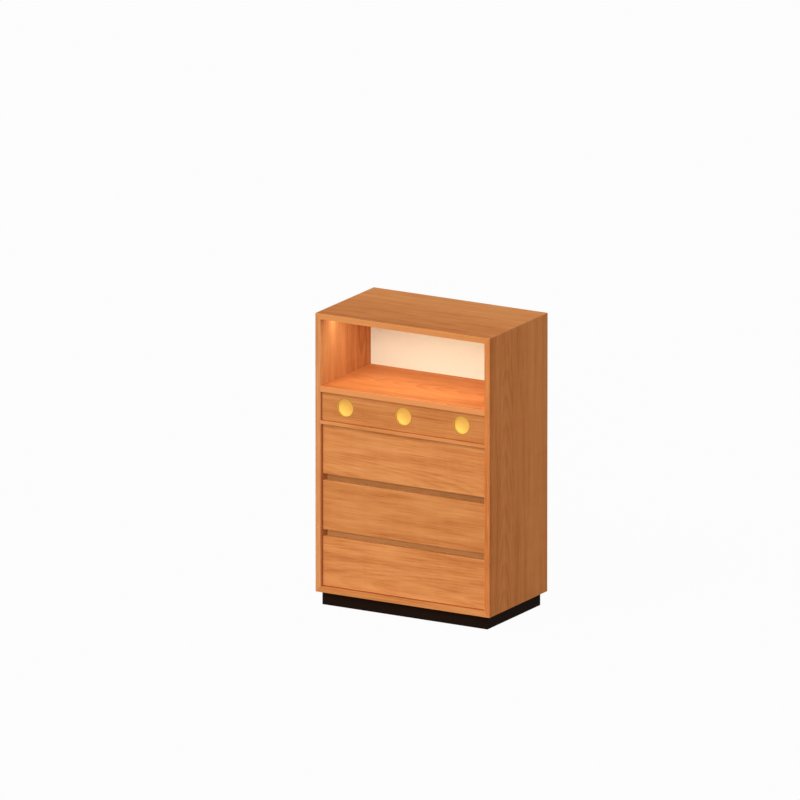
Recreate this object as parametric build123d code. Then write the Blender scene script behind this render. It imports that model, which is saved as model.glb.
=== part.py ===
"""Storage cabinet: a lit open niche over one shallow and three deep drawers, on a set-back plinth.

Millimetres. The origin is on the floor under the middle of the cabinet. X runs to the right as seen
from the front, the front looks towards -Y, and Z is up. Every piece is a solid of its own.
"""
import os
from math import copysign, pi, sqrt

from build123d import *

# Carcass: four mitred boards with a shelf and a divider between them
carcass_width = 600.0
carcass_depth = 348.0
board = 18.0
divider_board = 10.0
outer_ease = 1.2
arris = 0.7

# Openings from the top down; the deep bay is worked out from its drawer fronts
niche_height = 205.0
shallow_bay_height = 89.0
deep_front_height = 153.0
deep_drawer_count = 3
finger_gap = 20.5
front_gap = 2.0
shallow_gap_below = 1.2

# Drawer fronts and boxes
front_thickness = 18.0
shallow_front_recess = 7.0
deep_front_recess = 10.5
finger_round = 3.0
box_side = 12.0
box_lift = 13.0
shallow_box_drop = 12.0
deep_box_drop = 25.0
box_rear_gap = 11.5
box_bottom = 6.0
bottom_rise = 8.0
bottom_groove = 5.0
box_back = 12.0
back_inset = 10.0
back_housing = 4.0
tail_neck = 7.0
tail_flare = 10.0
tail_length = 8.0

# Runners: three nested steel channels a side
runner_height = 45.0
runner_thickness = 12.7
runner_steel = 1.2
runner_clear = 0.4
runner_rise = 26.0
runner_front_gap = 2.0
runner_rear_gap = 3.0
middle_standoff = 3.6
middle_flange = 7.0
cabinet_flange = 9.5
drawer_flange = 7.3
runner_screw_margin = 22.0
screw_shank = 1.75
screw_head = 3.5
screw_head_height = 1.7
screw_length = 13.0
screw_tip_cover = 2.2

# Rails at the back of the finger gaps
rail_setback = 13.0
rail_depth = 20.0
rail_overlap = 6.0

# Round finger cups in the shallow front
cup_count = 3
cup_end_setback = 80.0
cup_drop = 38.5
cup_mouth = 26.0
cup_undercut = 1.2
cup_wall = 1.0
cup_flange = 1.6
cup_proud = 0.4
cup_let_in = 0.8
cup_lip = 1.6
cup_edge_depth = 4.5
cup_depth = 10.0
cup_base = 1.2
cup_fit = 0.1
stud_radius = 2.0
stud_past_nut = 1.2
nut_thickness = 3.2
nut_across_flats = 7.0
washer_radius = 6.0
washer_thickness = 1.0

# Back of the cabinet
rear_panel = 6.0
rear_inset = 2.0
rear_rebate = 9.0
niche_back = 12.0
niche_back_housing = 5.0
void_depth = 28.0
rear_screw_shank = 1.5
rear_screw_head = 3.0
rear_screw_length = 18.0
rear_screw_margin = 60.0

# Joints inside the wood
joint_fit = 0.1
cut_over = 1.0
spline_thickness = 4.0
spline_width = 12.0
spline_stop = 14.0
dowel_radius = 4.0
divider_dowel_radius = 2.5
dowel_in_side = 11.0
dowel_in_end = 19.0
dowel_end_slack = 0.5
dowel_fit = 0.05
dowel_margin = 44.0
screw_fit = 0.05

# Plinth and what it stands on
plinth_height = 43.0
plinth_recess = 15.0
plinth_board = 16.0
plinth_floor_gap = 2.0
corner_block = 45.0
glide_radius = 16.0
glide_height = 8.0
glide_block_gap = 2.0
glide_stem_radius = 4.0
glide_stem_length = 24.0
glide_round = 1.5

# Light in the niche's ceiling
light_setback = 78.0
channel_width = 17.0
channel_depth = 8.0
channel_wall = 1.2
channel_end_gap = 1.0
channel_fit = 0.1
diffuser_thickness = 1.5
led_board_width = 10.0
led_board_thickness = 1.2
led_length = 3.5
led_height = 0.8
led_pitch = 16.0
cable_radius = 1.5
cable_side_gap = 22.0
cable_groove_width = 4.0
cable_groove_depth = 5.4
cable_roof_gap = 0.3
cable_bend = 8.0
cable_in_driver = 6.0
driver_width = 120.0
driver_height = 42.0
driver_thickness = 18.0
driver_drop = 60.0
driver_side_gap = 12.0
driver_round = 2.0
inlet_width = 26.0
inlet_height = 16.0
inlet_flange = 3.0
inlet_flange_thickness = 1.4
inlet_fit = 0.2
inlet_socket_radius = 4.4
inlet_pin_pitch = 8.6
inlet_socket_depth = 12.0
inlet_pin_radius = 1.2
inlet_pin_length = 9.0

# Places worked out from the sizes above
half_width = carcass_width / 2
inner = half_width - board
front_y = -carcass_depth / 2
rear_y = carcass_depth / 2
rear_face_y = rear_y - rear_inset
panel_y = rear_face_y - rear_panel
niche_back_y = panel_y - void_depth - niche_back
base_z = plinth_height
bay_z = base_z + board
deep_bay_height = (
    deep_drawer_count * deep_front_height
    + (deep_drawer_count - 1) * finger_gap
    + 2 * front_gap
)
divider_z = bay_z + deep_bay_height
shallow_z = divider_z + divider_board
shelf_z = shallow_z + shallow_bay_height
niche_z = shelf_z + board
ceiling_z = niche_z + niche_height
top_z = ceiling_z + board
front_half = inner - front_gap
box_half = inner - runner_thickness
box_inner = box_half - box_side
light_y = front_y + light_setback
cable_x = inner - cable_side_gap
cable_z = ceiling_z + cable_groove_depth - cable_roof_gap - cable_radius
rail_y = front_y + deep_front_recess + front_thickness + rail_setback
sides = (-1, 1)


def block(x, y, z):
    """A straight-sided solid between pairs of x, y and z."""
    size = Box(abs(x[1] - x[0]), abs(y[1] - y[0]), abs(z[1] - z[0]))
    return Pos(sum(x) / 2, sum(y) / 2, sum(z) / 2) * size


def rod(radius, start, end):
    """A round bar between two points."""
    run = Vector(*end) - Vector(*start)
    bar = Cylinder(radius, run.length, align=(Align.CENTER, Align.CENTER, Align.MIN))
    return Plane(origin=start, z_dir=run) * bar


def front_edges(piece, along):
    """The edges of a piece that lie at its front and run along one axis."""
    return piece.edges().filter_by(along).group_by(Axis.Y)[0]


def save(name, *solids):
    """Write one node, made of one or more separate solids."""
    node = solids[0] if len(solids) == 1 else Compound(children=list(solids))
    node.label = name
    export_step(node, os.path.join("parts", name + ".step"))


def runner_screw(x, y, z, into_x, length, slack=0.0):
    """A screw along X whose head's underside is at the point."""
    tip = (x + into_x * (length + slack), y, z)
    top = (x - into_x * screw_head_height, y, z)
    return rod(screw_shank + slack, (x, y, z), tip) + rod(screw_head + slack, top, (x, y, z))


def rear_screw(x, z, slack=0.0):
    """A countersunk screw whose head is level with the rear panel's outer face."""
    cone = Cone(
        rear_screw_head + slack,
        rear_screw_shank + slack,
        rear_screw_head - rear_screw_shank,
        align=(Align.CENTER, Align.CENTER, Align.MIN),
    )
    face = (x, rear_face_y, z)
    shank = rod(rear_screw_shank + slack, face, (x, rear_face_y - rear_screw_length - slack, z))
    return Plane(origin=face, z_dir=(0, -1, 0)) * cone + shank


# Fixings that cross from one piece to another, used for the fixing and for its hole

def dowel(side, y, z, radius, slack=0.0, end_slack=0.0):
    """A dowel from a side panel into the end of a shelf, divider or rail."""
    outer_x = side * (inner + dowel_in_side + end_slack)
    inner_x = side * (inner - dowel_in_end - end_slack)
    return rod(radius + slack, (outer_x, y, z), (inner_x, y, z))


def board_dowel_rows(z, radius):
    """Dowel places along both ends of a full-depth board, from the middle of its thickness."""
    first = front_y + dowel_margin
    last = panel_y - dowel_margin
    rows = (first, (first + last) / 2, last)
    return [(side, y, z, radius) for side in sides for y in rows]


def rail_heights():
    """The middle height of each finger gap, from the top down."""
    pitch = deep_front_height + finger_gap
    first = divider_z - front_gap - deep_front_height - finger_gap / 2
    return [first - gap * pitch for gap in range(deep_drawer_count - 1)]


shelf_dowels = board_dowel_rows(shelf_z + board / 2, dowel_radius)
divider_dowels = board_dowel_rows(divider_z + divider_board / 2, divider_dowel_radius)
rail_dowels = [
    (side, rail_y + rail_depth / 2, z, dowel_radius) for side in sides for z in rail_heights()
]


def spline(side, end, slack=0.0):
    """A loose tongue across one mitre; side is left or right, end is bottom or top."""
    middle_z = (top_z + base_z) / 2 + end * ((top_z - base_z) / 2 - board / 2)
    middle_x = side * (half_width - board / 2)
    start = front_y + spline_stop - slack
    stop = panel_y - spline_stop + slack
    tongue = Box(spline_width + 2 * slack, stop - start, spline_thickness + 2 * slack)
    turn = 45.0 * side * end
    return Pos(middle_x, (start + stop) / 2, middle_z) * Rot(0, turn, 0) * tongue


# Carcass

def outer_form():
    """The closed outside of the four mitred boards, with its worn edges."""
    form = block((-half_width, half_width), (front_y, rear_y), (base_z, top_z))
    along_y = form.edges().filter_by(Axis.Y)
    around_front = form.faces().sort_by(Axis.Y)[0].edges()
    return fillet(along_y + around_front, outer_ease)


def mitre(side, end):
    """The outer and the inner corner of one mitre, in x and z; end is bottom or top."""
    if end > 0:
        return (side * half_width, top_z), (side * inner, ceiling_z)
    return (side * half_width, base_z), (side * inner, bay_z)


def past_end(near, far):
    """The point just past the far end of a mitre, on its own line."""
    x = far[0] + copysign(cut_over, far[0] - near[0])
    z = far[1] + copysign(cut_over, far[1] - near[1])
    return x, 0, z


def mitred_board(first, last):
    """The part of the closed outside between two mitres, as thick as the boards are."""
    first_outer, first_inner = first
    last_outer, last_inner = last
    outline = Polyline(
        past_end(first_inner, first_outer),
        past_end(last_inner, last_outer),
        (last_inner[0], 0, last_inner[1]),
        (first_inner[0], 0, first_inner[1]),
        close=True,
    )
    depth = carcass_depth + 2 * board
    wedge = Pos(0, depth / 2, 0) * extrude(make_face(outline), depth, dir=(0, -1, 0))
    return outer_form() & wedge


def rear_rebate_cut():
    """The step that the rear panel lies in."""
    reach = inner + rear_rebate
    return block((-reach, reach), (panel_y, rear_y), (bay_z - rear_rebate, ceiling_z + rear_rebate))


def niche_back_space():
    """The grooves and the space that the niche's back panel takes."""
    reach = inner + niche_back_housing
    return block(
        (-reach, reach),
        (niche_back_y - joint_fit, niche_back_y + niche_back + joint_fit),
        (niche_z - niche_back_housing, ceiling_z + niche_back_housing),
    )


def rear_screw_places():
    """Screws along the rear panel's four edges."""
    edge = inner + rear_rebate / 2
    low = bay_z - rear_rebate / 2
    high = ceiling_z + rear_rebate / 2
    third = (high - low) / 3
    upright = (low + rear_screw_margin, low + third, high - third, high - rear_screw_margin)
    across = (-inner / 2, inner / 2)
    up_places = [(side * edge, z) for side in sides for z in upright]
    across_places = [(x, z) for x in across for z in (low, high)]
    return up_places + across_places


rebate = rear_rebate_cut()
housing = niche_back_space()
rear_screw_holes = [rear_screw(x, z, screw_fit) for x, z in rear_screw_places()]


def light_groove():
    """The groove for the light's channel in the top panel's underside."""
    reach = inner - channel_end_gap + channel_fit
    half = channel_width / 2 + channel_fit
    return block((-reach, reach), (light_y - half, light_y + half), (ceiling_z, ceiling_z + channel_depth))


def cable_groove():
    """The groove that takes the light's lead from the channel to the space behind the niche."""
    half = cable_groove_width / 2
    return block(
        (cable_x - half, cable_x + half),
        (light_y, panel_y),
        (ceiling_z, ceiling_z + cable_groove_depth),
    )


def top_panel():
    body = mitred_board(mitre(-1, 1), mitre(1, 1))
    body = fillet(front_edges(body, Axis.X).sort_by(Axis.Z)[0], arris)
    body = body - rebate - housing - light_groove() - cable_groove()
    body = body - [spline(side, 1, joint_fit) for side in sides]
    return body - rear_screw_holes


def bottom_panel():
    body = mitred_board(mitre(-1, -1), mitre(1, -1))
    body = fillet(front_edges(body, Axis.X).sort_by(Axis.Z)[-1], arris)
    body = body - rebate
    body = body - [spline(side, -1, joint_fit) for side in sides]
    return body - rear_screw_holes


def side_panel(side):
    body = mitred_board(mitre(side, -1), mitre(side, 1))
    inner_front = front_edges(body, Axis.Z).sort_by(Axis.X)[0 if side > 0 else -1]
    body = fillet(inner_front, arris)
    body = body - rebate - housing
    body = body - [spline(side, end, joint_fit) for end in sides]
    spots = shelf_dowels + divider_dowels + rail_dowels
    body = body - [dowel(*spot, dowel_fit, dowel_end_slack) for spot in spots if spot[0] == side]
    return body - rear_screw_holes - cabinet_screws(side, screw_fit)


def flush_board(z, thickness, dowels):
    """A full-depth board between the sides, level with their front edges."""
    body = block((-inner, inner), (front_y, panel_y), (z, z + thickness))
    body = fillet(front_edges(body, Axis.X), arris)
    return body - [dowel(*spot, dowel_fit, dowel_end_slack) for spot in dowels]


def finger_rail(z):
    """A rail behind one finger gap, a little higher than the gap."""
    half = finger_gap / 2 + rail_overlap
    body = block((-inner, inner), (rail_y, rail_y + rail_depth), (z - half, z + half))
    ends = [spot for spot in rail_dowels if spot[2] == z]
    return body - [dowel(*spot, dowel_fit, dowel_end_slack) for spot in ends]


def niche_back_panel():
    """The cream panel at the back of the niche, notched for the light's lead."""
    reach = inner + niche_back_housing - joint_fit
    low = niche_z - niche_back_housing + joint_fit
    high = ceiling_z + niche_back_housing - joint_fit
    body = block((-reach, reach), (niche_back_y, niche_back_y + niche_back), (low, high))
    half = cable_groove_width / 2
    notch = block(
        (cable_x - half, cable_x + half),
        (niche_back_y, niche_back_y + niche_back),
        (ceiling_z, high),
    )
    return body - notch


def rear_panel_board():
    reach = inner + rear_rebate - joint_fit
    low = bay_z - rear_rebate + joint_fit
    high = ceiling_z + rear_rebate - joint_fit
    body = block((-reach, reach), (panel_y, rear_face_y), (low, high))
    x, z = inlet_place()
    half_x = inlet_width / 2 + inlet_fit
    half_z = inlet_height / 2 + inlet_fit
    window = block((x - half_x, x + half_x), (panel_y, rear_face_y), (z - half_z, z + half_z))
    return body - window - rear_screw_holes


# Plinth

def plinth_long_board(end):
    """The plinth's front or rear board."""
    reach = half_width - plinth_recess
    face = front_y + plinth_recess if end < 0 else rear_y - plinth_recess
    body = block((-reach, reach), (face, face - end * plinth_board), (plinth_floor_gap, base_z))
    corners = body.edges().filter_by(Axis.Z).group_by(Axis.Y)[0 if end < 0 else -1]
    return fillet(corners, outer_ease)


def plinth_side_board(side):
    face = side * (half_width - plinth_recess)
    start = front_y + plinth_recess + plinth_board
    return block((face, face - side * plinth_board), (start, -start), (plinth_floor_gap, base_z))


def glide_place(side, end):
    """The middle of the corner block in one corner of the plinth."""
    x = side * (half_width - plinth_recess - plinth_board - corner_block / 2)
    y = end * (rear_y - plinth_recess - plinth_board - corner_block / 2)
    return x, y


def corner_block_solid(side, end):
    x, y = glide_place(side, end)
    half = corner_block / 2
    low = glide_height + glide_block_gap
    body = block((x - half, x + half), (y - half, y + half), (low, base_z))
    top = glide_height + glide_stem_length + joint_fit
    return body - rod(glide_stem_radius + screw_fit, (x, y, 0), (x, y, top))


def glide(side, end):
    """A levelling glide: a disc on the floor with a threaded stem, drawn plain."""
    x, y = glide_place(side, end)
    disc = rod(glide_radius, (x, y, 0), (x, y, glide_height))
    disc = fillet(disc.edges().group_by(Axis.Z)[-1], glide_round)
    return disc + rod(glide_stem_radius, (x, y, 0), (x, y, glide_height + glide_stem_length))


# Drawers

class Drawer:
    """Sizes and places of one drawer, from its front's lower edge and height."""

    def __init__(self, number, low, height, recess, drop):
        self.number = number
        self.low = low
        self.high = low + height
        self.face_y = front_y + recess
        self.back_y = self.face_y + front_thickness
        self.end_y = panel_y - box_rear_gap
        self.box_z = low + box_lift
        self.box_top = self.high - drop
        self.floor_z = self.box_z + bottom_rise
        self.runner_z = self.box_z + runner_rise
        self.runner_y = (self.back_y + runner_front_gap, self.end_y + runner_rear_gap)
        self.rear_board_y = self.end_y - back_inset - box_back

    def screw_rows(self):
        first = self.runner_y[0] + runner_screw_margin
        last = self.runner_y[1] - runner_screw_margin
        return first, (first + last) / 2, last


def all_drawers():
    """The shallow drawer, then the deep ones from the top down."""
    low = shallow_z + shallow_gap_below
    height = shallow_bay_height - shallow_gap_below - front_gap
    found = [Drawer(1, low, height, shallow_front_recess, shallow_box_drop)]
    low = divider_z - front_gap - deep_front_height
    for count in range(deep_drawer_count):
        found.append(Drawer(count + 2, low, deep_front_height, deep_front_recess, deep_box_drop))
        low -= deep_front_height + finger_gap
    return found


drawers = all_drawers()


def cup_places():
    """The middles of the finger cups along the shallow front."""
    reach = front_half - cup_end_setback
    step = 2 * reach / (cup_count - 1)
    return [-reach + index * step for index in range(cup_count)]


def box_bottom_space(drawer, slack):
    """The drawer's bottom board, or the space it slides into."""
    reach = box_inner + bottom_groove - joint_fit + slack
    return block(
        (-reach, reach),
        (drawer.back_y - bottom_groove + joint_fit - slack, drawer.end_y),
        (drawer.floor_z - slack, drawer.floor_z + box_bottom + slack),
    )


def tail(drawer, side, slack=0.0):
    """The flared tongue on a drawer side's front end, or its socket in the front."""
    middle = side * (box_half - box_side / 2)
    neck = tail_neck / 2 + slack
    flare = tail_flare / 2 + slack
    depth = tail_length + slack
    outline = Polyline(
        (middle - neck, drawer.back_y, 0),
        (middle + neck, drawer.back_y, 0),
        (middle + flare, drawer.back_y - depth, 0),
        (middle - flare, drawer.back_y - depth, 0),
        close=True,
    )
    rise = drawer.box_top - drawer.box_z + slack
    return Pos(0, 0, drawer.box_z) * extrude(make_face(outline), rise, dir=(0, 0, 1))


def drawer_front(drawer):
    body = block((-front_half, front_half), (drawer.face_y, drawer.back_y), (drawer.low, drawer.high))
    body = fillet(body.faces().sort_by(Axis.Y)[0].edges(), arris)
    if drawer.number > 1:
        hooks = body.edges().filter_by(Axis.X).group_by(Axis.Y)[-1]
        body = fillet(hooks, finger_round)
    else:
        body = body - [cup_pocket(drawer, x) for x in cup_places()]
    body = body - [tail(drawer, side, joint_fit) for side in sides]
    return body - box_bottom_space(drawer, joint_fit)


def drawer_side(drawer, side):
    body = block(
        (side * box_half, side * box_inner),
        (drawer.back_y, drawer.end_y),
        (drawer.box_z, drawer.box_top),
    )
    body = body + tail(drawer, side)
    body = body - box_bottom_space(drawer, joint_fit)
    body = body - drawer_back(drawer, joint_fit)
    return body - drawer_screws(drawer, side, screw_fit)


def drawer_back(drawer, slack=0.0):
    """The board across the rear of a drawer, housed in its sides and standing on its bottom."""
    reach = box_inner + back_housing - joint_fit + slack
    start = drawer.rear_board_y - slack
    low = drawer.floor_z + box_bottom + joint_fit - slack
    return block((-reach, reach), (start, start + box_back + 2 * slack), (low, drawer.box_top + slack))


def channel(side, y, z, start, web, length, height, outward):
    """A folded steel channel: an upright web with a flange above and below it.

    start is the web's distance from the side panel, and outward tells that the flanges point
    away from the side panel.
    """
    edge = inner - start
    half = height / 2
    reach = (edge - length, edge) if outward else (edge - web, edge - web + length)
    web_solid = block((side * edge, side * (edge - web)), y, (z - half, z + half))
    across = (side * reach[0], side * reach[1])
    upper = block(across, y, (z + half - web, z + half))
    lower = block(across, y, (z - half, z - half + web))
    return web_solid + upper + lower


def cabinet_member(drawer, side):
    body = channel(
        side, drawer.runner_y, drawer.runner_z, 0, runner_steel, cabinet_flange, runner_height, True
    )
    return body - cabinet_screw_row(drawer, side, screw_fit)


def middle_height():
    return runner_height - 2 * runner_steel - 2 * runner_clear


def middle_member(drawer, side):
    return channel(
        side,
        drawer.runner_y,
        drawer.runner_z,
        middle_standoff,
        runner_steel,
        middle_flange,
        middle_height(),
        True,
    )


def drawer_member(drawer, side):
    height = middle_height() - 2 * runner_steel - 2 * runner_clear
    body = channel(
        side,
        drawer.runner_y,
        drawer.runner_z,
        runner_thickness - runner_steel,
        runner_steel,
        drawer_flange,
        height,
        False,
    )
    return body - drawer_screws(drawer, side, screw_fit)


def cabinet_screw_row(drawer, side, slack=0.0):
    """The screws of one cabinet member, from inside the channel into the side panel."""
    seat = side * (inner - runner_steel)
    rows = drawer.screw_rows()
    return [runner_screw(seat, y, drawer.runner_z, side, screw_length, slack) for y in rows]


def cabinet_screws(side, slack=0.0):
    return [screw for drawer in drawers for screw in cabinet_screw_row(drawer, side, slack)]


def drawer_screws(drawer, side, slack=0.0):
    """The screws of one drawer member, from inside the channel into the drawer's side."""
    seat = side * (box_half + runner_steel)
    first = drawer.runner_y[0] + runner_screw_margin
    last = drawer.rear_board_y - runner_screw_margin
    length = runner_steel + box_side - screw_tip_cover
    rows = (first, last)
    return [runner_screw(seat, y, drawer.runner_z, -side, length, slack) for y in rows]


# Finger cups

def cup(drawer, x):
    """A turned brass cup with an undercut lip, a dished floor and a stud behind it."""
    cavity = cup_mouth + cup_undercut
    outer = cavity + cup_wall
    flange = outer + cup_flange
    dish = cup_depth - cup_edge_depth
    curve = (cavity ** 2 + dish ** 2) / (2 * dish)
    middle = cup_depth - curve + sqrt(curve ** 2 - (cavity / 2) ** 2)
    base = cup_depth + cup_base
    floor = ThreePointArc((0, cup_depth), (cavity / 2, middle), (cavity, cup_edge_depth))
    wall = Polyline(
        (cavity, cup_edge_depth),
        (cavity, cup_lip),
        (cup_mouth, cup_lip),
        (cup_mouth, -cup_proud),
        (flange, -cup_proud),
        (flange, cup_let_in),
        (outer, cup_let_in),
        (outer, base),
        (0, base),
        (0, cup_depth),
    )
    body = revolve(make_face([floor, wall]), Axis.Y, 360)
    rims = body.edges().filter_by(GeomType.CIRCLE).group_by(Axis.Y)[0]
    body = fillet(rims, cup_proud / 2)
    end = front_thickness + washer_thickness + nut_thickness + stud_past_nut
    body = body + rod(stud_radius, (0, base - cup_base / 2, 0), (0, end, 0))
    return Pos(x, drawer.face_y, cup_height(drawer)) * body


def cup_height(drawer):
    return drawer.high - cup_drop


def cup_pocket(drawer, x):
    """The stepped pocket and the stud's hole in the shallow front."""
    outer = cup_mouth + cup_undercut + cup_wall
    base = cup_depth + cup_base
    body = rod(outer + cup_fit, (0, -cut_over, 0), (0, base + cup_fit, 0))
    body = body + rod(outer + cup_flange + cup_fit, (0, -cut_over, 0), (0, cup_let_in, 0))
    body = body + rod(stud_radius + cup_fit, (0, 0, 0), (0, front_thickness + cut_over, 0))
    return Pos(x, drawer.face_y, cup_height(drawer)) * body


def cup_nut(drawer, x):
    """A nut with its washer, against the back of the shallow front."""
    z = cup_height(drawer)
    start = drawer.back_y
    washer = rod(washer_radius, (x, start, z), (x, start + washer_thickness, z))
    outline = RegularPolygon(nut_across_flats / 2, 6, major_radius=False)
    face = Plane(origin=(x, start + washer_thickness, z), z_dir=(0, 1, 0))
    body = washer + extrude(face * outline, nut_thickness)
    length = washer_thickness + nut_thickness
    return body - rod(stud_radius + screw_fit, (x, start, z), (x, start + length, z))


# Light

def light_channel():
    reach = inner - channel_end_gap
    half = channel_width / 2
    body = block((-reach, reach), (light_y - half, light_y + half), (ceiling_z, ceiling_z + channel_depth))
    roof = ceiling_z + channel_depth - channel_wall
    body = body - block(
        (-reach, reach), (light_y - half + channel_wall, light_y + half - channel_wall), (ceiling_z, roof)
    )
    notch = cable_groove_width / 2
    return body - block(
        (cable_x - notch, cable_x + notch),
        (light_y, light_y + half),
        (ceiling_z + diffuser_thickness, ceiling_z + cable_groove_depth),
    )


def light_board():
    """The strip with its light diodes, under the channel's roof."""
    reach = inner - channel_end_gap - channel_wall
    high = ceiling_z + channel_depth - channel_wall
    low = high - led_board_thickness
    half = led_board_width / 2
    body = block((-reach, reach), (light_y - half, light_y + half), (low, high))
    stop = cable_x - cable_groove_width - led_length
    count = int((stop + reach) // led_pitch)
    half_led = led_length / 2
    for index in range(count):
        x = -reach + led_pitch * (index + 0.5)
        body = body + block(
            (x - half_led, x + half_led),
            (light_y - half_led, light_y + half_led),
            (low - led_height, low),
        )
    return body


def light_diffuser():
    reach = inner - channel_end_gap - channel_fit
    half = channel_width / 2 - channel_wall - channel_fit
    return block(
        (-reach, reach), (light_y - half, light_y + half), (ceiling_z, ceiling_z + diffuser_thickness)
    )


def driver_box():
    """The low, high corners of the light's driver, fixed to the back of the niche's back panel."""
    high_x = inner - driver_side_gap
    start_y = niche_back_y + niche_back
    high_z = ceiling_z - driver_drop
    return (
        (high_x - driver_width, high_x),
        (start_y, start_y + driver_thickness),
        (high_z - driver_height, high_z),
    )


def light_driver():
    x, y, z = driver_box()
    body = block(x, y, z)
    body = fillet(body.edges().filter_by(Axis.Y), driver_round)
    start = (cable_x, sum(y) / 2, z[1])
    end = (cable_x, sum(y) / 2, z[1] - cable_in_driver - joint_fit)
    return body - rod(cable_radius + joint_fit, start, end)


def light_cable():
    """The lead from the light's strip, back along its groove and down into the driver."""
    _, y, z = driver_box()
    drop_y = sum(y) / 2
    start = (cable_x, light_y + led_board_width / 2 - cable_radius, cable_z)
    corner = (cable_x, drop_y, cable_z)
    end = (cable_x, drop_y, z[1] - cable_in_driver)
    path = FilletPolyline(start, corner, end, radius=cable_bend)
    section = Plane(origin=start, z_dir=(0, 1, 0)) * Circle(cable_radius)
    body = sweep(section, path=path)
    share = body.volume / (pi * cable_radius ** 2 * path.length)
    print(f"light cable: bend radius {cable_bend} mm, volume over section times length {share:.4f}")
    return body


def inlet_place():
    x, _, z = driver_box()
    return sum(x) / 2, sum(z) / 2


def power_inlet():
    """A two-pin appliance inlet between the driver and the rear panel."""
    x, z = inlet_place()
    _, driver_y, _ = driver_box()
    half_x = inlet_width / 2
    half_z = inlet_height / 2
    body = block((x - half_x, x + half_x), (driver_y[1], rear_face_y), (z - half_z, z + half_z))
    face_y = rear_face_y + inlet_flange_thickness
    body = body + block(
        (x - half_x - inlet_flange, x + half_x + inlet_flange),
        (rear_face_y, face_y),
        (z - half_z - inlet_flange, z + half_z + inlet_flange),
    )
    socket_y = face_y - inlet_socket_depth
    offset = inlet_pin_pitch / 2
    for side in sides:
        centre = x + side * offset
        body = body - rod(inlet_socket_radius, (centre, socket_y, z), (centre, face_y, z))
    body = body - block(
        (x - offset, x + offset),
        (socket_y, face_y),
        (z - inlet_socket_radius, z + inlet_socket_radius),
    )
    for side in sides:
        centre = x + side * offset
        root = (centre, socket_y - cut_over, z)
        body = body + rod(inlet_pin_radius, root, (centre, socket_y + inlet_pin_length, z))
    return body


def write_carcass():
    save("top_panel", top_panel())
    save("bottom_panel", bottom_panel())
    save("left_side_panel", side_panel(-1))
    save("right_side_panel", side_panel(1))
    save("niche_shelf", flush_board(shelf_z, board, shelf_dowels) - housing)
    save("drawer_divider", flush_board(divider_z, divider_board, divider_dowels))
    save("finger_rails", *[finger_rail(z) for z in rail_heights()])
    save("niche_back_panel", niche_back_panel())
    save("rear_panel", rear_panel_board())
    save("mitre_splines", *[spline(side, end) for side in sides for end in sides])
    spots = shelf_dowels + divider_dowels + rail_dowels
    save("carcass_dowels", *[dowel(*spot) for spot in spots])
    save("rear_panel_screws", *[rear_screw(x, z) for x, z in rear_screw_places()])


def write_plinth():
    corners = [(side, end) for side in sides for end in sides]
    save("plinth_front", plinth_long_board(-1))
    save("plinth_rear", plinth_long_board(1))
    save("plinth_sides", *[plinth_side_board(side) for side in sides])
    save("plinth_corner_blocks", *[corner_block_solid(*corner) for corner in corners])
    save("levelling_glides", *[glide(*corner) for corner in corners])


def write_drawer(drawer):
    name = f"drawer_{drawer.number}_"
    save(name + "front", drawer_front(drawer))
    save(name + "left_side", drawer_side(drawer, -1))
    save(name + "right_side", drawer_side(drawer, 1))
    save(name + "back", drawer_back(drawer))
    save(name + "bottom", box_bottom_space(drawer, 0.0))
    save(name + "runner_members", *[drawer_member(drawer, side) for side in sides])
    save(name + "runner_screws", *[screw for side in sides for screw in drawer_screws(drawer, side)])
    save(name + "middle_members", *[middle_member(drawer, side) for side in sides])


def write_runners_and_cups():
    members = [cabinet_member(drawer, side) for drawer in drawers for side in sides]
    save("cabinet_runner_members", *members)
    save("cabinet_runner_screws", *cabinet_screws(-1), *cabinet_screws(1))
    save("finger_cups", *[cup(drawers[0], x) for x in cup_places()])
    save("finger_cup_nuts", *[cup_nut(drawers[0], x) for x in cup_places()])


def write_light():
    save("light_channel", light_channel())
    save("light_board", light_board())
    save("light_diffuser", light_diffuser())
    save("light_cable", light_cable())
    save("light_driver", light_driver())
    save("power_inlet", power_inlet())


os.makedirs("parts", exist_ok=True)
write_carcass()
write_plinth()
for each in drawers:
    write_drawer(each)
write_runners_and_cups()
write_light()
print(f"height {top_z:.1f} mm, niche depth {niche_back_y - front_y:.1f} mm")
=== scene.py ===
"""Storage cabinet: the finishes, small fixings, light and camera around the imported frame.

Metres. The origin is on the floor under the middle of the cabinet. X runs to the right as seen
from the front, the front looks towards -Y, and Z is up.
"""

from math import asin, cos, degrees, radians, sin

import bpy
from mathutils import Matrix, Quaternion, Vector


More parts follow.
